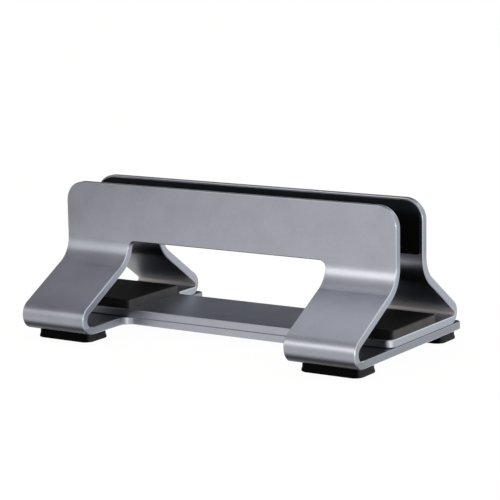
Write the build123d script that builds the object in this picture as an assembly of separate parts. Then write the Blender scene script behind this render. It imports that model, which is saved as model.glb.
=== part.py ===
from build123d import *

import math
import os
from dataclasses import dataclass

# Vertical laptop stand: two bent aluminium sheets whose base plates lie on each other.
# X runs along the stand, Y from the front wall to the rear one, Z up.
# The origin is on the table, at the middle of the stand's length and depth.
# All sizes are in millimetres.

# Sheet brackets
length = 194.0
sheet = 4.0
wall_top = 71.2             # wall's upper edge, above the lower plate's underside
wall_bend_radius = 14.0     # hollow side of the bend below a wall
leg_width = 38.6
wall_corner_radius = 10.5
arris = 0.4                 # chamfer along every sheet edge

# Legs: the lean is in degrees from the vertical, and a bend height is from the lower plate's underside
front_lean = 60.8
front_bend = 42.4           # where the wall starts to bend outwards
front_hollow = 3.5          # inside of the curl at a leg's lower end
front_round = 7.5           # outside of it
rear_lean = 55.4
rear_bend = 43.0
rear_hollow = 1.3           # the rear sheet is folded tight, which thins it there
rear_round = 6.1

# Windows between the legs
window_top_radius = 4.0
window_base_radius = 5.0
lower_window_depth = 36.5   # from the front curl's outermost line
upper_window_depth = 22.0   # from the rear curl's outermost line

# Base plates
lower_depth = 108.4         # front curl to the tabs' rear edge
upper_depth = 67.6          # front edge to the rear curl
notch_depth = 28.0          # gap between the two rear tabs, as wide as the windows
lower_corner_radius = 3.5
upper_corner_radius = 4.5

# Laptop slot
wall_gap = 22.5             # between the walls' inner faces, as set
travel_in = 8.0             # how far the rear bracket can move towards the front wall
travel_out = 12.0           # and away from it

# Wall pads
wall_pad_thickness = 1.5
wall_pad_inset = 1.0        # from the wall's top and side edges
wall_pad_height = 26.0
wall_pad_low_radius = 2.0

# Base pads
base_pad_width = 39.5
base_pad_depth = 44.5
base_pad_thickness = 4.5
base_pad_side_inset = 0.5   # from the stand's end
base_pad_front_inset = 1.9  # from the upper plate's front edge
base_pad_corner = 2.0
base_pad_edge = 1.0

# Feet, measured where they meet the plate
foot_width = 31.4
foot_depth = 16.9
foot_height = 5.0
foot_corner = 4.5
foot_flare = 8.0            # degrees, wider at the floor
foot_side_inset = 3.2       # from the stand's end
foot_front_inset = 1.2      # from the line where the curl turns flat
foot_rear_inset = 1.0       # from the tabs' rear edge

# Clamp screws and washers, metric size 4, low head
thread_radius = 2.0
thread_clearance = 0.05
slot_clearance = 0.3
screw_length = 8.0
head_radius = 3.5
head_height = 2.8
socket_width = 2.5          # across flats
socket_depth = 1.6
washer_radius = 4.5
washer_bore = 2.15
washer_thickness = 0.8
screw_side_inset = 20.0     # from the stand's end
screw_front_inset = 10.8    # first screw, from the upper plate's front edge
screw_pitch = 27.5          # first screw to second, along Y

# Heights that follow
lower_plate = foot_height
upper_plate = lower_plate + sheet
pad_floor = upper_plate + sheet
top = lower_plate + wall_top


@dataclass(frozen=True)
class Fold:
    """How one sheet runs from its wall down to its plate, with the wall's outer face at y = 0.

    plate and bend are heights above the table; lean is in radians from the vertical.
    hollow and round are the radii inside and outside the curl between leg and plate.
    """

    plate: float
    bend: float
    lean: float
    hollow: float
    round: float

    def corner(self):
        """Height where the wall's and the leg's outer lines would meet, without the bend between them."""
        return self.bend - wall_bend_radius * math.tan(self.lean / 2)

    def run(self):
        """Distance along Y from the wall's outer face to where the leg's line meets the plate's underside."""
        return (self.corner() - self.plate) * math.tan(self.lean)

    def reach(self):
        """Distance along Y from the wall's outer face to the outermost line of the curl."""
        tangent = self.round / math.tan((math.pi / 2 - self.lean) / 2)
        return self.run() - tangent + self.round


front_fold = Fold(lower_plate, lower_plate + front_bend, math.radians(front_lean), front_hollow, front_round)
rear_fold = Fold(upper_plate, lower_plate + rear_bend, math.radians(rear_lean), rear_hollow, rear_round)

# Places along Y that follow
front_end = -lower_depth / 2
rear_end = lower_depth / 2
front_wall = front_end + front_fold.reach()
rear_wall = front_wall + wall_gap + 2 * sheet
rear_curl = rear_wall + rear_fold.reach()
upper_front = rear_curl - upper_depth

# Widths that follow
window_width = length - 2 * leg_width
screw_places = [
    (side * (length / 2 - screw_side_inset), upper_front + screw_front_inset + step * screw_pitch)
    for side in (-1, 1)
    for step in (0, 1)
]


def sharp_edges(solid):
    """Edges where two faces meet at an angle, without the tangent ones."""
    faces = solid.faces()
    sharp = ShapeList()
    for edge in solid.edges():
        middle = edge @ 0.5
        normals = [face.normal_at(middle) for face in faces if edge in face.edges()]
        if len(normals) == 2 and normals[0].get_angle(normals[1]) > 5:
            sharp.append(edge)
    return sharp


def bent_sheet(fold, plate_depth):
    """One uncut sheet: wall, bend, leg, curl and plate, with the wall's outer face at y = 0."""
    plate_end = plate_depth - fold.reach()
    skin = [(0, fold.corner()), (-fold.run(), fold.plate)]
    inner_corner = (sheet, fold.corner() - sheet * math.tan(fold.lean / 2))
    inner_toe = (
        sheet * (1 + math.sin(fold.lean)) / math.cos(fold.lean) - fold.run(),
        fold.plate + sheet,
    )
    ends = [(plate_end, fold.plate), (plate_end, fold.plate + sheet)]
    outline = [(0, top), *skin, *ends, inner_toe, inner_corner, (sheet, top)]
    section = make_face(Polyline(outline, close=True))
    radii = [wall_bend_radius, fold.round, fold.hollow, wall_bend_radius + sheet]
    for place, radius in zip([*skin, inner_toe, inner_corner], radii):
        section = fillet(section.vertices().sort_by_distance((*place, 0))[0], radius)
    return extrude(Plane.YZ * section, length / 2, both=True)


def window_cutter(fold, window_depth):
    """Space between two legs: an upright opening below the wall, and one in the plate before it."""
    reach = fold.reach()
    split = fold.plate + 2 * sheet
    upright = Rectangle(window_width, fold.bend - split, align=(Align.CENTER, Align.MAX))
    upright = fillet(upright.vertices().group_by(Axis.Y)[-1], window_top_radius)
    upright = extrude(Plane((0, 2 * sheet, fold.bend), z_dir=(0, -1, 0), x_dir=(1, 0, 0)) * upright, 2 * reach)
    floor = Rectangle(window_width, window_depth + reach, align=(Align.CENTER, Align.MAX))
    floor = fillet(floor.vertices().group_by(Axis.Y)[-1], window_base_radius)
    floor = extrude(Pos(0, window_depth - reach, fold.plate - sheet) * floor, split - fold.plate + sheet)
    return upright + floor


def bracket(fold, plate_depth, window_depth, corner_radius, notch=None):
    """A finished bent bracket, with the wall's outer face at y = 0 and its legs towards -Y."""
    body = bent_sheet(fold, plate_depth) - window_cutter(fold, window_depth)
    if notch:
        body -= notch
    body = fillet(body.edges().filter_by(Axis.Y).group_by(Axis.Z)[-1], wall_corner_radius)
    body = fillet(body.edges().filter_by(Axis.Z).group_by(Axis.Y)[-1], corner_radius)
    return chamfer(sharp_edges(body), arris)


def rear_notch():
    """Gap between the lower plate's rear tabs, in the front bracket's own place along Y."""
    plate_end = lower_depth - front_fold.reach()
    notch = Rectangle(window_width, 2 * notch_depth)
    notch = fillet(notch.vertices().group_by(Axis.Y)[0], window_base_radius)
    return extrude(Pos(0, plate_end, lower_plate - sheet) * notch, 3 * sheet)


def adjustment_slots():
    """Slots in the lower plate that let the clamp screws travel with the rear bracket."""
    travel = travel_in + travel_out
    slot = SlotCenterToCenter(travel, 2 * (thread_radius + slot_clearance), rotation=90)
    places = [Pos(x, y + (travel_out - travel_in) / 2, lower_plate - sheet) for x, y in screw_places]
    return [extrude(place * slot, 3 * sheet) for place in places]


def front_bracket():
    """Bracket with the feet: its base is the lower plate."""
    body = bracket(front_fold, lower_depth, lower_window_depth, lower_corner_radius, rear_notch())
    return Pos(0, front_wall, 0) * body - adjustment_slots()


def rear_bracket():
    """Sliding bracket: its base is the upper plate, tapped for the clamp screws."""
    body = bracket(rear_fold, upper_depth, upper_window_depth, upper_corner_radius)
    body = Pos(0, rear_wall, 0) * mirror(body, Plane.XZ)
    tapping = Cylinder(thread_radius + thread_clearance, 3 * sheet)
    return body - [Pos(x, y, upper_plate) * tapping for x, y in screw_places]


def wall_pad():
    """Pad on a wall's inner face, for a wall with its outer face at y = 0."""
    width = length - 2 * wall_pad_inset
    outline = Rectangle(width, wall_pad_height, align=(Align.CENTER, Align.MAX))
    outline = fillet(outline.vertices().group_by(Axis.Y)[-1], wall_corner_radius - wall_pad_inset)
    outline = fillet(outline.vertices().group_by(Axis.Y)[0], wall_pad_low_radius)
    face = Plane((0, sheet + wall_pad_thickness, top - wall_pad_inset), z_dir=(0, -1, 0), x_dir=(1, 0, 0))
    return extrude(face * outline, wall_pad_thickness)


def base_pad(side):
    """Block on the upper plate that a laptop's edge stands on; side is -1 for left and 1 for right."""
    block = Box(base_pad_width, base_pad_depth, base_pad_thickness, align=(Align.MAX, Align.MIN, Align.MIN))
    block = fillet(block.edges().filter_by(Axis.Z), base_pad_corner)
    block = chamfer(block.faces().sort_by(Axis.Z)[-1].edges(), base_pad_edge)
    corner = Pos(length / 2 - base_pad_side_inset, upper_front + base_pad_front_inset, pad_floor)
    block = corner * block
    return block if side > 0 else mirror(block, Plane.YZ)


def foot(side, back):
    """Rubber foot; side is -1 for left and 1 for right, back is whether it is a rear one."""
    sole = fillet(Rectangle(foot_width, foot_depth).vertices(), foot_corner)
    block = extrude(sole, foot_height, taper=-foot_flare)
    x = side * (length / 2 - foot_side_inset - foot_width / 2)
    front_y = front_end + front_round + foot_front_inset + foot_depth / 2
    rear_y = rear_end - foot_rear_inset - foot_depth / 2
    return Pos(x, rear_y if back else front_y, lower_plate) * Rot(180, 0, 0) * block


def clamp_screw():
    """Low-head socket screw pointing up, with the head's seat at z = 0."""
    half = Polyline(
        (0, -head_height),
        (head_radius, -head_height),
        (head_radius, 0),
        (thread_radius, 0),
        (thread_radius, screw_length),
        (0, screw_length),
        close=True,
    )
    screw = revolve(Plane.XZ * make_face(half), Axis.Z)
    key = RegularPolygon(socket_width / 2, 6, major_radius=False)
    return screw - extrude(Pos(0, 0, -head_height) * key, socket_depth)


def clamp_washer():
    """Flat washer with its lower face at z = 0."""
    ring = Circle(washer_radius) - Circle(washer_bore)
    return extrude(ring, washer_thickness)


def at_screws(piece, height):
    """Copies of one piece at the four clamp screws, with its own zero at a height."""
    return Compound(children=[Pos(x, y, height) * piece for x, y in screw_places])


def all_parts():
    """Every piece of the stand, by name."""
    seat = lower_plate - washer_thickness
    parts = {
        "front_bracket": front_bracket(),
        "rear_bracket": rear_bracket(),
        "front_wall_pad": Pos(0, front_wall, 0) * wall_pad(),
        "rear_wall_pad": Pos(0, rear_wall, 0) * mirror(wall_pad(), Plane.XZ),
        "clamp_screws": at_screws(clamp_screw(), seat),
        "clamp_washers": at_screws(clamp_washer(), seat),
    }
    for side, hand in ((-1, "left"), (1, "right")):
        parts[f"base_pad_{hand}"] = base_pad(side)
        parts[f"foot_front_{hand}"] = foot(side, False)
        parts[f"foot_rear_{hand}"] = foot(side, True)
    return parts


os.makedirs("parts", exist_ok=True)
for name, shape in all_parts().items():
    export_step(shape, f"parts/{name}.step")
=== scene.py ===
"""Looks of a vertical laptop stand: bent anodised sheets, silicone pads and rubber feet."""

import logging
import math
from dataclasses import dataclass, field
from enum import Enum
from typing import Any, Callable, Optional

import bmesh
import bpy
from mathutils import Matrix, Vector

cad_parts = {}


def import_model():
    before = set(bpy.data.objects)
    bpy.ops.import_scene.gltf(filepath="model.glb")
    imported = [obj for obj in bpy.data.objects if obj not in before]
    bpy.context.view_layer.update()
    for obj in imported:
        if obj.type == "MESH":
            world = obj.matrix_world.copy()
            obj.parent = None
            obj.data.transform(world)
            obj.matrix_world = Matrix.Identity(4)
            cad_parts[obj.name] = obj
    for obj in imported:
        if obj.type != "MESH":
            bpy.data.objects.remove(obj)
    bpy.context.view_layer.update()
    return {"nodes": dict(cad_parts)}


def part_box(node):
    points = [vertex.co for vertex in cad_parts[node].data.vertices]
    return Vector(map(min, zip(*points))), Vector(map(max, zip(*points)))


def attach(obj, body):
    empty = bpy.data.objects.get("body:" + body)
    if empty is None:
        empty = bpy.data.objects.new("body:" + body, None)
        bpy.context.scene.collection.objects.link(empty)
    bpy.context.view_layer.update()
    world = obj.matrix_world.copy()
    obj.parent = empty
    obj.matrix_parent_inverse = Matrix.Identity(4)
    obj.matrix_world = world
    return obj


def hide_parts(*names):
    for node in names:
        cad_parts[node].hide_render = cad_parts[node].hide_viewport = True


LOG = logging.getLogger("laptop_stand")
MM = 0.001
Colour = tuple[float, float, float]


class Axis(Enum):
    """A direction of the part's own frame, along which edges and faces are picked."""

    Y = Vector((0, 1, 0))
    Z = Vector((0, 0, 1))


class Side(Enum):
    """Which end of the stand a piece is at."""

    LEFT = -1
    RIGHT = 1


class Row(Enum):
    """Whether a piece belongs to the front bracket's side or the rear one's."""

    FRONT = -1
    REAR = 1


class Wire:
    """One shader value, with arithmetic that adds the Math nodes it needs."""

    def __init__(self, bench: "NodeBench", socket: bpy.types.NodeSocket) -> None:
        """Keeps the socket and the bench that its nodes go on."""
        self.bench = bench
        self.socket = socket

    def _math(self, operation: str, *values: Any) -> "Wire":
        """A Math node on these values.

        Args:
            operation: The Math node's operation.
            values: Wires or numbers, in the node's own order.

        Returns:
            The node's result.
        """
        inputs = dict(enumerate(values))
        return self.bench.add("ShaderNodeMath", {"operation": operation}, inputs)["Value"]

    def __add__(self, other: Any) -> "Wire":
        """Sum."""
        return self._math("ADD", self, other)

    __radd__ = __add__

    def __sub__(self, other: Any) -> "Wire":
        """Difference."""
        return self._math("SUBTRACT", self, other)

    def __rsub__(self, other: Any) -> "Wire":
        """Difference from a number."""
        return self._math("SUBTRACT", other, self)

    def __mul__(self, other: Any) -> "Wire":
        """Product."""
        return self._math("MULTIPLY", self, other)

    def __abs__(self) -> "Wire":
        """Size without its sign."""
        return self._math("ABSOLUTE", self)

    def ramp(self, low: float, high: float) -> "Wire":
        """Zero at low, one at high, a smooth rise between them and level outside.

        Args:
            low: Value where the rise starts.
            high: Value where it ends.

        Returns:
            The ramped value.
        """
        settings = {"clamp": True, "interpolation_type": "SMOOTHSTEP"}
        inputs = {"Value": self, "From Min": low, "From Max": high}
        return self.bench.add("ShaderNodeMapRange", settings, inputs)["Result"]

    def near(self, middle: float, reach: float) -> "Wire":
        """One at the middle value, falling smoothly to zero at the reach on both sides.

        Args:
            middle: Value at the peak.
            reach: Distance from the peak to where it is zero.

        Returns:
            The peaked value.
        """
        return abs(self - middle).ramp(reach, 0.0)

    def ramp_mm(self, low: float, high: float) -> "Wire":
        """The ramp of a place, between two places in millimetres."""
        return self.ramp(low * MM, high * MM)

    def near_mm(self, middle: float, reach: float) -> "Wire":
        """The peak around a place, with both lengths in millimetres."""
        return self.near(middle * MM, reach * MM)


class Outlets:
    """A new node's outputs, as wires by name or number."""

    def __init__(self, bench: "NodeBench", node: bpy.types.Node) -> None:
        """Keeps the node and its bench."""
        self.bench = bench
        self.node = node

    def __getitem__(self, name: Any) -> Wire:
        """The output of that name or number."""
        return Wire(self.bench, self.node.outputs[name])


class NodeBench:
    """The node tree of one material or world, filled through one method."""

    def __init__(self, owner: Any) -> None:
        """Empties the owner's node tree.

        Args:
            owner: A material or a world.
        """
        owner.use_nodes = True
        self.tree = owner.node_tree
        self.tree.nodes.clear()

    def add(
        self, kind: str, settings: Optional[dict] = None, inputs: Optional[dict] = None
    ) -> Outlets:
        """Adds one node.

        Args:
            kind: The node's type.
            settings: Properties that are set first.
            inputs: Wires or plain values by socket name or number.

        Returns:
            The node's outputs.
        """
        node = self.tree.nodes.new(kind)
        for name, value in (settings or {}).items():
            setattr(node, name, value)
        for key, value in (inputs or {}).items():
            if isinstance(value, Wire):
                self.tree.links.new(value.socket, node.inputs[key])
            else:
                node.inputs[key].default_value = value
        return Outlets(self, node)

    def place(self) -> Wire:
        """Object coordinates, in metres."""
        return self.add("ShaderNodeTexCoord")["Object"]

    def split(self, output: str) -> Outlets:
        """The X, Y and Z of a texture coordinate.

        Args:
            output: Object for the place in metres, or Normal.

        Returns:
            The three parts by letter.
        """
        vector = self.add("ShaderNodeTexCoord")[output]
        return self.add("ShaderNodeSeparateXYZ", None, {"Vector": vector})

    def grain(self, size: float, detail: float = 2.0, roughness: float = 0.5) -> Wire:
        """Noise from 0 to 1 in object coordinates.

        Args:
            size: Size of one grain in millimetres.
            detail: How many finer layers it has.
            roughness: How strong those layers are.

        Returns:
            The noise value.
        """
        inputs = {
            "Vector": self.place(),
            "Scale": 1.0 / (size * MM),
            "Detail": detail,
            "Roughness": roughness,
        }
        return self.add("ShaderNodeTexNoise", None, inputs)["Fac"]

    def tint(self, share: Any, first: Any, second: Any) -> Wire:
        """A colour between two.

        Args:
            share: Wire that is 0 for the first colour and 1 for the second.
            first: A colour or a wire.
            second: A colour or a wire.

        Returns:
            The mixed colour.
        """
        mix_a, mix_b, mixed = 6, 7, 2
        ends = [value if isinstance(value, Wire) else (*value, 1.0) for value in (first, second)]
        inputs = {0: share, mix_a: ends[0], mix_b: ends[1]}
        return self.add("ShaderNodeMix", {"data_type": "RGBA"}, inputs)[mixed]

    def relief(self, height: Wire, depth: float) -> Wire:
        """A bumped normal.

        Args:
            height: Height from 0 to 1.
            depth: What a height of 1 stands for, in millimetres.

        Returns:
            The normal.
        """
        inputs = {"Height": height, "Distance": depth * MM, "Strength": 1.0}
        return self.add("ShaderNodeBump", None, inputs)["Normal"]

    def finish(self, **inputs: Any) -> None:
        """Ends the material in a Principled surface.

        Args:
            inputs: Its sockets by name, with spaces written as underscores.
        """
        named = {key.replace("_", " "): value for key, value in inputs.items()}
        body = self.add("ShaderNodeBsdfPrincipled", None, named)
        self.add("ShaderNodeOutputMaterial", None, {"Surface": body["BSDF"]})


@dataclass(frozen=True)
class AnodisedAluminium:
    """Space grey anodised sheet, blasted satin, with painted highlights on the cut corners, painted
    shade in the folds and a painted warm glow low in the rear folds.

    Sizes are in millimetres. Heights are above the table, and depths along the part's Y.
    """

    dark: Colour = (0.360, 0.376, 0.434)
    light: Colour = (0.402, 0.420, 0.480)
    # painted highlight colour on the arrises
    corner: Colour = (0.62, 0.65, 0.71)
    rim: Colour = (0.362, 0.398, 0.468)
    # painted warm glow of bounced light inside the rear folds
    painted_glow: Colour = (0.72, 0.69, 0.67)
    # painted shade colour
    painted_dark: Colour = (0.012, 0.014, 0.020)

    cloud_size: float = 14.0
    cloud_share: float = 0.6       # of the tone's mottling, where the rest is speckle
    blast_size: float = 0.35
    blast_depth: float = 0.006
    roughness: float = 0.33
    cloud_roughness: float = 0.03
    arris_polish: float = 0.02     # how much smoother the arrises are
    fold_roughness: float = 0.4
    highlight_share: float = 0.4      # of the painted highlight colour on an arris
    glow_share: float = 0.8        # of the painted warm glow in the fold

    lower_top: float = 9.0         # top of the lower plate
    upper_top: float = 13.0        # top of the upper plate
    wall_foot: float = 44.0        # where a wall starts to bend
    wall_top: float = 76.2
    arris_size: float = 0.4
    curl_middle: float = -44.5     # depth at which the front curl starts
    upper_front: float = -19.0     # depth of the upper plate's front edge
    fold_start: float = 30.0       # depth at which the rear fold starts
    nose_reach: float = 2.6        # height over which a highlight is painted on the upper plate's corners
    nose_depth: float = 6.0

    side_highlight: float = 0.4         # how bright the painted highlight on the arrises is: of the cut ends
    low_highlight: float = 1.6          # more of it below the walls
    nose_highlight: float = 1.7         # at the upper plate's front corners
    top_highlight: float = 2.5          # on the edges that face up

    seam_shade: float = 0.8        # how dark the painted shade is: in the seam between the plates
    lower_end_shade: float = 0.3   # the lower plate's ends
    wall_end_shade: float = 0.2    # the walls' ends
    sunk_shade: float = 0.6        # the lower plate's top along the seam
    leg_shade: float = 0.5         # the legs' under sides
    belly_shade: float = 0.82      # the front curl's under side
    curl_shade: float = 0.13       # all of the front curl

    def build(self) -> bpy.types.Material:
        """Makes the material.

        Returns:
            The material.
        """
        material = bpy.data.materials.new("anodised_aluminium")
        bench = NodeBench(material)
        clouds = bench.grain(self.cloud_size, detail=3.0, roughness=0.55).ramp(0.3, 0.7)
        blast = bench.grain(self.blast_size, roughness=0.6)
        speckle = bench.grain(3 * self.blast_size, detail=1.0).ramp(0.25, 0.75)
        mottle = clouds * self.cloud_share + speckle * (1 - self.cloud_share)
        ends = abs(bench.split("Normal")["X"]).ramp(0.8, 0.95)
        arris_highlight, fold_coarse_and_glow = self.arris_highlight(bench), self.fold_coarse_and_glow(bench)
        tone = bench.tint(mottle, self.dark, self.light)
        tone = bench.tint(ends, tone, self.rim)
        # painted warm glow of bounced light low on the rear legs' inner faces
        tone = bench.tint(fold_coarse_and_glow * self.glow_share, tone, self.painted_glow)
        # painted highlight on the arrises and the upper plate's front corners
        tone = bench.tint(arris_highlight * self.highlight_share, tone, self.corner)
        worn = clouds * self.cloud_roughness + fold_coarse_and_glow * self.fold_roughness
        bench.finish(
            # painted shade under the legs, in the curl, along the seam and on the ends
            Base_Color=bench.tint(self.shade(bench), tone, self.painted_dark),
            Metallic=1.0,
            Roughness=self.roughness + worn - arris_highlight * self.arris_polish,
            Normal=bench.relief(blast, self.blast_depth),
        )
        return material

    def arris_highlight(self, bench: NodeBench) -> Wire:
        """Rises where a highlight is painted: on the small chamfers of the cut ends and of the edges
        that face up, and on the upper plate's front corners.

        Args:
            bench: The material's nodes.

        Returns:
            The mask.
        """
        normal, place = bench.split("Normal"), bench.split("Object")
        half_way, half_band = math.sqrt(0.5), 0.25
        tops = [
            place["Z"].near_mm(top - self.arris_size / 2, self.arris_size)
            for top in (self.upper_top, self.wall_top)
        ]
        upward = abs(normal["Y"]).near(half_way, half_band) * normal["Z"].ramp(0.3, 0.5)
        sides = abs(normal["X"]).near(half_way, half_band)
        nose = place["Z"].near_mm((self.lower_top + self.upper_top) / 2, self.nose_reach)
        nose = nose * place["Y"].near_mm(self.upper_front, self.nose_depth) * sides
        lower = place["Z"].ramp_mm(self.wall_foot + 4, self.wall_foot - 6)
        ends = sides * (self.side_highlight + lower * self.low_highlight)
        return ends + nose * self.nose_highlight + upward * (tops[0] + tops[1]) * self.top_highlight

    def fold_coarse_and_glow(self, bench: NodeBench) -> Wire:
        """One low on the rear legs' inner faces, where the tight fold has left the surface coarser and
        a warm glow of bounced light is painted.

        Args:
            bench: The material's nodes.

        Returns:
            The mask.
        """
        normal, place = bench.split("Normal"), bench.split("Object")
        behind = place["Y"].ramp_mm(self.fold_start - 4, self.fold_start)
        inner = normal["Y"].ramp(-0.2, -0.5) * behind
        return inner * place["Z"].ramp_mm(self.upper_top + 11, self.upper_top + 2)

    def shade(self, bench: NodeBench) -> Wire:
        """Rises where shade is painted: under the legs, in the curl, along the seam and on the plates'
        and walls' ends.

        Args:
            bench: The material's nodes.

        Returns:
            The mask.
        """
        normal, place = bench.split("Normal"), bench.split("Object")
        depth, height = place["Y"], place["Z"]
        curl = depth.ramp_mm(self.curl_middle, self.curl_middle - 2)
        upright = abs(normal["Z"]).ramp(0.9, 0.8) * (1 - curl)
        seam = height.near_mm(self.lower_top, 1.4 * self.arris_size) * upright
        low = height.ramp_mm(self.lower_top, self.lower_top - self.arris_size)
        high = height.ramp_mm(self.wall_foot, self.wall_foot + 8)
        ends = low * self.lower_end_shade + high * self.wall_end_shade
        ends = ends * abs(normal["X"]).ramp(0.7, 0.9)
        sunk = height.near_mm(self.lower_top, self.arris_size) * normal["Z"].ramp(0.9, 0.99)
        above = height.ramp_mm(self.upper_top + 1, self.upper_top + 12)
        legs = normal["Z"].ramp(-0.1, -0.5) * above
        belly = curl * normal["Z"].ramp(-0.15, -0.55)
        whole = depth.ramp_mm(self.curl_middle + 8, self.curl_middle - 9)
        seams = seam * self.seam_shade + ends + sunk * self.sunk_shade
        folds = legs * self.leg_shade + belly * self.belly_shade + whole * self.curl_shade
        return seams + folds


@dataclass(frozen=True)
class Silicone:
    """Matt black silicone or rubber with a moulded grain, and painted light on the end faces and near
    the top.

    Sizes are in millimetres. The height where the painted light from above starts is above the table,
    and out of reach by default.
    """

    name: str
    dark: Colour
    light: Colour
    roughness: float
    shine: float = 0.3
    # painted light colour on the end faces and near the top
    painted_light: Colour = (0.010, 0.012, 0.015)
    lit_above: float = 1000.0
    grain_size: float = 0.5
    grain_depth: float = 0.03
    grain_roughness: float = 0.08
    cloud_size: float = 9.0
    cloud_share: float = 0.6       # of the tone's mottling, where the rest is grain
    even_light_share: float = 0.7       # of the painted light that is even, where the rest follows the clouds
    lit_rise: float = 6.0         # height over which the painted light from above rises

    def build(self) -> bpy.types.Material:
        """Makes the material.

        Returns:
            The material.
        """
        material = bpy.data.materials.new(self.name)
        bench = NodeBench(material)
        clouds = bench.grain(self.cloud_size, detail=3.0, roughness=0.6).ramp(0.35, 0.75)
        moulded = bench.grain(self.grain_size, roughness=0.7)
        mottle = clouds * self.cloud_share + moulded * (1 - self.cloud_share)
        tone = bench.tint(mottle, self.dark, self.light)
        # painted light on the end faces
        ends = abs(bench.split("Normal")["X"]).ramp(0.6, 0.9)
        height = bench.split("Object")["Z"]
        # painted light from above, rising near the top
        lit_top = height.ramp_mm(self.lit_above, self.lit_above + self.lit_rise)
        uneven = self.even_light_share + clouds * (1 - self.even_light_share)
        bench.finish(
            Base_Color=bench.tint((ends + lit_top) * uneven, tone, self.painted_light),
            Roughness=self.roughness + moulded * self.grain_roughness,
            Specular_IOR_Level=self.shine,
            Normal=bench.relief(moulded, self.grain_depth),
        )
        return material


@dataclass(frozen=True)
class BlackSteel:
    """Black oxide on the clamp screws and their washers, with sizes in millimetres."""

    dark: Colour = (0.028, 0.029, 0.032)
    light: Colour = (0.06, 0.06, 0.064)
    roughness: float = 0.34
    mottle_size: float = 1.2
    mottle_roughness: float = 0.1
    scratch_size: float = 0.25
    scratch_depth: float = 0.008

    def build(self) -> bpy.types.Material:
        """Makes the material.

        Returns:
            The material.
        """
        material = bpy.data.materials.new("black_steel")
        bench = NodeBench(material)
        mottle = bench.grain(self.mottle_size, detail=3.0, roughness=0.6).ramp(0.3, 0.7)
        scratches = bench.grain(self.scratch_size, detail=1.0)
        bench.finish(
            Base_Color=bench.tint(mottle, self.dark, self.light),
            Metallic=1.0,
            Roughness=self.roughness + mottle * self.mottle_roughness,
            Normal=bench.relief(scratches, self.scratch_depth),
        )
        return material


def dress(piece: bpy.types.Object, material: bpy.types.Material) -> None:
    """Gives a piece one material.

    Args:
        piece: The object.
        material: Its finish.
    """
    piece.data.materials.clear()
    piece.data.materials.append(material)


class Block:
    """A piece that starts as a cube at its size and place and is shaped in edit mode."""

    corner_facets: int = 12
    smooth_angle: float = 35.0     # degrees between faces, below which an edge is smooth
    reach: float = 0.02 * MM       # how far from a height an edge may be to count as on it
    along: float = 0.99            # least share of an edge's direction that lies on an axis
    across: float = 0.01           # most share of it, for an edge square to the axis

    def __init__(self, name: str, low: Vector, high: Vector) -> None:
        """Adds the cube.

        Args:
            name: The piece's name.
            low: Lowest corner, in metres.
            high: Highest corner, in metres.
        """
        bpy.ops.object.select_all(action="DESELECT")
        bpy.ops.mesh.primitive_cube_add(size=1.0, location=(low + high) / 2, scale=high - low)
        self.piece = bpy.context.object
        self.piece.name = self.piece.data.name = name
        bpy.ops.object.transform_apply(location=True, rotation=True, scale=True)
        bpy.ops.object.mode_set(mode="EDIT")
        bpy.ops.mesh.select_mode(type="EDGE")

    def pick(self, test: Callable[[Vector, Vector], bool]) -> None:
        """Selects edges in edit mode.

        Args:
            test: Says of an edge's middle and direction whether it is wanted.
        """
        mesh = bmesh.from_edit_mesh(self.piece.data)
        for edge in mesh.edges:
            edge.select_set(False)
        for edge in mesh.edges:
            first, last = (vertex.co for vertex in edge.verts)
            if test((first + last) / 2, (last - first).normalized()):
                edge.select_set(True)
        bmesh.update_edit_mesh(self.piece.data)

    def pick_level(self, axis: Axis, height: float) -> None:
        """Selects the edges that lie square to an axis at one height, in metres."""
        def level(middle: Vector, way: Vector) -> bool:
            """Whether an edge lies there."""
            offset = abs(middle.dot(axis.value) - height)
            return offset < self.reach and abs(way.dot(axis.value)) < self.across

        self.pick(level)

    def bevel(self, radius: float, segments: int) -> None:
        """Rounds the selected edges, with the radius in millimetres."""
        bpy.ops.mesh.bevel(offset=radius * MM, segments=segments, profile=0.5, affect="EDGES")

    def round_corners(
        self, axis: Axis, radius: float, test: Callable[[Vector], bool] = lambda _: True
    ) -> None:
        """Rounds the edges that run along an axis.

        Args:
            axis: The edges' direction.
            radius: Radius in millimetres.
            test: Says of an edge's middle whether it is wanted.
        """
        self.pick(lambda middle, way: abs(way.dot(axis.value)) > self.along and test(middle))
        self.bevel(radius, self.corner_facets)

    def soften(self, axis: Axis, height: float, radius: float, segments: int = 4) -> None:
        """Rounds the outline of the flat face at one height.

        Args:
            axis: Direction in which the height is measured.
            height: Where the face is, in metres.
            radius: Radius in millimetres.
            segments: How many facets the round has.
        """
        self.pick_level(axis, height)
        self.bevel(radius, segments)

    def cut(self, axis: Axis, height: float) -> None:
        """Adds a line of edges all round at one height, in metres."""
        bpy.ops.mesh.select_all(action="SELECT")
        bpy.ops.mesh.bisect(plane_co=axis.value * height, plane_no=axis.value)

    def widen(self, height: float, grow: float, size: Vector, middle: Vector) -> None:
        """Widens the ring of edges at one height.

        Args:
            height: The ring's height, in metres.
            grow: How far each side moves out, in millimetres.
            size: The ring's size before.
            middle: The centre that it grows from.
        """
        self.pick_level(Axis.Z, height)
        value = (1 + 2 * grow * MM / size.x, 1 + 2 * grow * MM / size.y, 1)
        bpy.ops.transform.resize(value=value, center_override=middle)

    def done(self, material: bpy.types.Material, node: str, body: str) -> None:
        """Smooths the piece, dresses it and puts it in the place of its CAD node.

        Args:
            material: Its finish.
            node: The CAD node that it stands for.
            body: The body that it moves with.
        """
        bpy.ops.mesh.select_all(action="SELECT")
        bpy.ops.mesh.normals_make_consistent(inside=False)
        bpy.ops.object.mode_set(mode="OBJECT")
        bpy.ops.object.shade_smooth_by_angle(angle=math.radians(self.smooth_angle))
        dress(self.piece, material)
        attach(self.piece, body)
        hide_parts(node)
        faces = len(self.piece.data.polygons)
        LOG.info("%s: %d faces, rides on %s", self.piece.name, faces, body)


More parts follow.
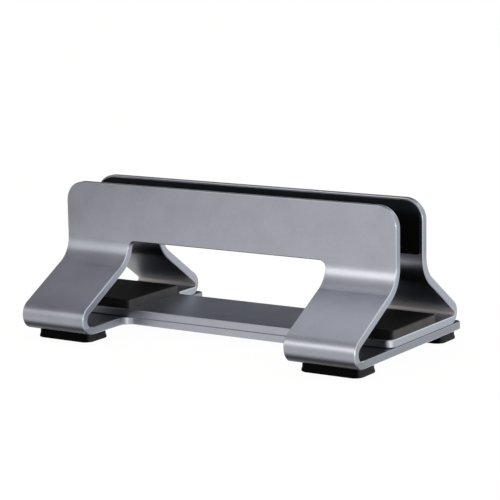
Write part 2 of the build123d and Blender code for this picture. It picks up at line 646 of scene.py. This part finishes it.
@dataclass
class WallPads:
    """The two silicone sheets on the walls' inner faces, with sizes in millimetres."""

    corner: float = 9.5
    low_corner: float = 2.0
    edge: float = 0.45
    finish: Silicone = Silicone(
        "silicone_sheet",
        (0.0008, 0.0008, 0.0010),
        (0.0018, 0.0018, 0.0020),
        roughness=0.8,
        shine=0.06,
        # painted light from above on the pads' top
        lit_above=67.0,
    )
    bodies: dict = field(default_factory=lambda: {Row.FRONT: "base", Row.REAR: "carriage"})

    def build(self) -> None:
        """Makes both pads."""
        material = self.finish.build()
        for row in Row:
            place = row.name.lower()
            low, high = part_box(f"{place}_wall_pad")
            block = Block(f"wall_pad_{place}", low, high)
            middle = (low.z + high.z) / 2
            block.round_corners(Axis.Y, self.corner, lambda spot: spot.z > middle)
            block.round_corners(Axis.Y, self.low_corner, lambda spot: spot.z < middle)
            slot_side = low.y if row is Row.REAR else high.y
            block.soften(Axis.Y, slot_side, self.edge)
            block.done(material, f"{place}_wall_pad", self.bodies[row])


@dataclass
class BasePads:
    """The two silicone blocks that a laptop's edge stands on, with sizes in millimetres."""

    corner: float = 2.0
    edge: float = 1.0
    finish: Silicone = Silicone(
        "silicone_block",
        (0.0045, 0.0043, 0.0040),
        (0.0085, 0.0080, 0.0070),
        roughness=0.55,
        shine=0.2,
        # painted light on the end faces
        painted_light=(0.078, 0.077, 0.078),
    )

    def build(self) -> None:
        """Makes both pads."""
        material = self.finish.build()
        for side in Side:
            place = side.name.lower()
            low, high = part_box(f"base_pad_{place}")
            block = Block(f"base_block_{place}", low, high)
            block.round_corners(Axis.Z, self.corner)
            block.soften(Axis.Z, high.z, self.edge)
            block.done(material, f"base_pad_{place}", "carriage")


@dataclass
class Feet:
    """The four rubber feet under the lower plate, with sizes in millimetres."""

    corner: float = 4.6
    flare: float = 0.7
    waist: float = 0.45            # its height, as a share of the foot's
    waist_share: float = 0.15      # of the flare that is there at the waist
    sole_edge: float = 0.9
    top_edge: float = 0.3
    top_facets: int = 2
    inset: float = 0.25            # of the upright part from its CAD foot's widest outline
    finish: Silicone = Silicone(
        "foot_rubber",
        (0.0012, 0.0012, 0.0013),
        (0.0026, 0.0026, 0.0028),
        roughness=0.6,
        shine=0.03,
        # painted light on the end faces
        painted_light=(0.055, 0.056, 0.062),
    )

    def build(self) -> None:
        """Makes the feet."""
        material = self.finish.build()
        for row in Row:
            for side in Side:
                self.foot(f"foot_{row.name.lower()}_{side.name.lower()}", material)

    def foot(self, node: str, material: bpy.types.Material) -> None:
        """Makes one foot: upright above its waist and flared below.

        Args:
            node: The CAD foot that it stands for.
            material: Its finish.
        """
        low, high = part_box(node)
        room = Vector((self.inset, self.inset, 0)) * MM
        low, high = low + room, high - room
        size, middle = high - low, (low + high) / 2
        block = Block(f"rubber_{node}", low, high)
        block.round_corners(Axis.Z, self.corner)
        waist = low.z + size.z * self.waist
        block.cut(Axis.Z, waist)
        block.widen(waist, self.waist_share * self.flare, size, middle)
        block.widen(low.z, self.flare, size, middle)
        block.soften(Axis.Z, low.z, self.sole_edge)
        block.soften(Axis.Z, high.z, self.top_edge, self.top_facets)
        block.done(material, node, "base")


@dataclass
class MetalParts:
    """The two bent brackets and the clamp screws, whose CAD shapes are shown as they are."""

    brackets: tuple[str, ...] = ("front_bracket", "rear_bracket")
    fasteners: tuple[str, ...] = ("clamp_screws", "clamp_washers")
    sheet_finish: AnodisedAluminium = AnodisedAluminium()
    fastener_finish: BlackSteel = BlackSteel()

    def build(self, nodes: dict[str, bpy.types.Object]) -> None:
        """Gives the metal its finishes.

        Args:
            nodes: The CAD nodes by name.
        """
        groups = ((self.brackets, self.sheet_finish), (self.fasteners, self.fastener_finish))
        for names, finish in groups:
            material = finish.build()
            for name in names:
                dress(nodes[name], material)
                LOG.info("%s: %s", name, material.name)


@dataclass(frozen=True)
class Softbox:
    """A soft lamp aimed at the stand, in metres, whose level is the brightness of its face."""

    name: str
    place: tuple[float, float, float]
    size: tuple[float, float]
    level: float
    colour: Colour = (1.0, 1.0, 1.0)
    mirrored: bool = True          # whether reflections show it
    aim: tuple[float, float, float] = (0.0, 0.0, 0.04)

    def build(self) -> None:
        """Adds the lamp."""
        data = bpy.data.lights.new(self.name, "AREA")
        data.shape = "RECTANGLE"
        data.size, data.size_y = self.size
        data.energy = self.level * math.pi * self.size[0] * self.size[1]
        data.color = self.colour
        lamp = bpy.data.objects.new(self.name, data)
        lamp.location = self.place
        way = Vector(self.aim) - lamp.location
        lamp.rotation_euler = way.to_track_quat("-Z", "Y").to_euler()
        lamp.visible_glossy = self.mirrored
        bpy.context.scene.collection.objects.link(lamp)


@dataclass(frozen=True)
class Card:
    """A grey card that only reflections show, with its place and size in metres."""

    name: str
    place: tuple[float, float, float]
    size: tuple[float, float]
    facing: tuple[float, float, float]
    shade: Colour

    def build(self) -> None:
        """Adds the card."""
        bpy.ops.object.select_all(action="DESELECT")
        bpy.ops.mesh.primitive_plane_add(size=1.0)
        card = bpy.context.object
        card.name = self.name
        card.scale = (*self.size, 1.0)
        card.location = self.place
        card.rotation_euler = Vector(self.facing).to_track_quat("Z", "Y").to_euler()
        card.visible_camera = card.visible_diffuse = card.visible_shadow = False
        material = bpy.data.materials.new(self.name)
        bench = NodeBench(material)
        body = bench.add("ShaderNodeBsdfDiffuse", None, {"Color": (*self.shade, 1.0)})
        bench.add("ShaderNodeOutputMaterial", None, {"Surface": body["BSDF"]})
        dress(card, material)


@dataclass(frozen=True)
class Studio:
    """Pale floor, white background, soft lamps and grey cards for the reflections."""

    floor_size: float = 24.0
    floor_colour: Colour = (0.95, 0.90, 0.85)
    shadow_share: float = 0.05     # how much of the shadow the camera sees
    white: float = 1.02
    mirrored_white: float = 0.92   # how bright reflections show the floor
    mirrored_colour: Colour = (1.0, 0.97, 0.95)
    fill: float = 0.72
    lamps: tuple[Softbox, ...] = (
        Softbox("key", (-0.25, -0.72, 0.38), (0.43, 0.30), 2.4, (1.0, 0.93, 0.82)),
        Softbox("side", (0.72, -0.46, 0.10), (0.20, 0.14), 5.5, (0.92, 0.96, 1.0)),
        Softbox("rim", (0.60, 0.92, 0.12), (0.50, 0.30), 2.5, (0.95, 0.97, 1.0), mirrored=False),
    )
    cards: tuple[Card, ...] = (
        Card("card_behind", (-0.95, 1.45, 0.62), (2.4, 1.2), (0.5, -0.8, -0.2), (0.076, 0.083, 0.112)),
        Card("card_above", (-0.80, 0.20, 0.45), (1.0, 1.4), (0, 0, -1), (0.41, 0.42, 0.47)),
        Card("card_over", (-0.14, -0.18, 0.45), (0.36, 0.26), (0, 0, -1), (0.78, 0.80, 0.84)),
        Card("card_end", (-0.80, 0.0, 0.22), (1.0, 0.5), (1, 0, 0), (0.10, 0.10, 0.11)),
        Card("card_left", (-0.65, -0.45, 0.002), (0.8, 0.7), (0, 0, 1), (0.16, 0.16, 0.16)),
    )

    def build(self) -> None:
        """Makes the floor, the lamps, the cards and the world."""
        self.floor()
        for thing in (*self.lamps, *self.cards):
            thing.build()
        self.world()

    def floor(self) -> None:
        """Makes the floor, which the camera sees as white with a faint shadow."""
        bpy.ops.object.select_all(action="DESELECT")
        bpy.ops.mesh.primitive_plane_add(size=self.floor_size)
        floor = bpy.context.object
        floor.name = "studio_floor"
        material = bpy.data.materials.new("studio_floor")
        bench = NodeBench(material)
        path = bench.add("ShaderNodeLightPath")
        mirrored = path["Is Glossy Ray"] + path["Is Transmission Ray"]
        lit = bench.add("ShaderNodeBsdfDiffuse", None, {"Color": (*self.floor_colour, 1.0)})
        colour = bench.tint(mirrored, (1.0, 1.0, 1.0), self.mirrored_colour)
        white = bench.add("ShaderNodeEmission", None, {"Color": colour, "Strength": self.white})
        share = path["Is Camera Ray"] * (1 - self.shadow_share) + mirrored * self.mirrored_white
        ends = {0: share, 1: lit["BSDF"], 2: white["Emission"]}
        mixed = bench.add("ShaderNodeMixShader", None, ends)
        bench.add("ShaderNodeOutputMaterial", None, {"Surface": mixed["Shader"]})
        dress(floor, material)

    def world(self) -> None:
        """Makes the world: white where it is seen, and a soft fill as light."""
        world = bpy.data.worlds.new("studio")
        bpy.context.scene.world = world
        bench = NodeBench(world)
        path = bench.add("ShaderNodeLightPath")
        seen = path["Is Camera Ray"] + path["Is Glossy Ray"] + path["Is Transmission Ray"]
        light, back = (
            bench.add("ShaderNodeBackground", None, {"Color": (1, 1, 1, 1), "Strength": level})
            for level in (self.fill, 1.0)
        )
        ends = {0: seen, 1: light["Background"], 2: back["Background"]}
        mixed = bench.add("ShaderNodeMixShader", None, ends)
        bench.add("ShaderNodeOutputWorld", None, {"Surface": mixed["Shader"]})


@dataclass(frozen=True)
class PhotoCamera:
    """Camera at the photograph's viewing angle, with lengths in millimetres."""

    azimuth: float = 32.832
    elevation: float = 10.267
    roll: float = -0.973
    distance: float = 1018.07
    target: tuple[float, float, float] = (6.139, 0.0, 45.946)
    lens: float = 146.885
    sensor: float = 36.0
    clip: tuple[float, float] = (10.0, 50000.0)

    def build(self) -> None:
        """Makes the camera and gives it to the scene."""
        turn, lift = math.radians(self.azimuth), math.radians(self.elevation)
        level = math.cos(lift)
        back = Vector((math.sin(turn) * level, -math.cos(turn) * level, math.sin(lift)))
        right = Vector((0, 0, 1)).cross(back).normalized()
        right = Matrix.Rotation(math.radians(self.roll), 3, back) @ right
        up = back.cross(right)
        place = Vector(self.target) * MM + back * self.distance * MM
        data = bpy.data.cameras.new("photo_camera")
        data.lens, data.sensor_width = self.lens, self.sensor
        data.clip_start, data.clip_end = (distance * MM for distance in self.clip)
        camera = bpy.data.objects.new("photo_camera", data)
        turned = Matrix((right, up, back)).transposed().to_4x4()
        camera.matrix_world = Matrix.Translation(place) @ turned
        bpy.context.scene.collection.objects.link(camera)
        bpy.context.scene.camera = camera


def main() -> None:
    """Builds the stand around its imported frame, and the studio around the stand."""
    logging.basicConfig(level=logging.INFO, format="%(message)s")
    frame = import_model()
    bpy.context.scene.view_settings.view_transform = "Standard"
    MetalParts().build(frame["nodes"])
    for pieces in (WallPads(), BasePads(), Feet()):
        pieces.build()
    Studio().build()
    PhotoCamera().build()


if __name__ == "__main__":
    main()
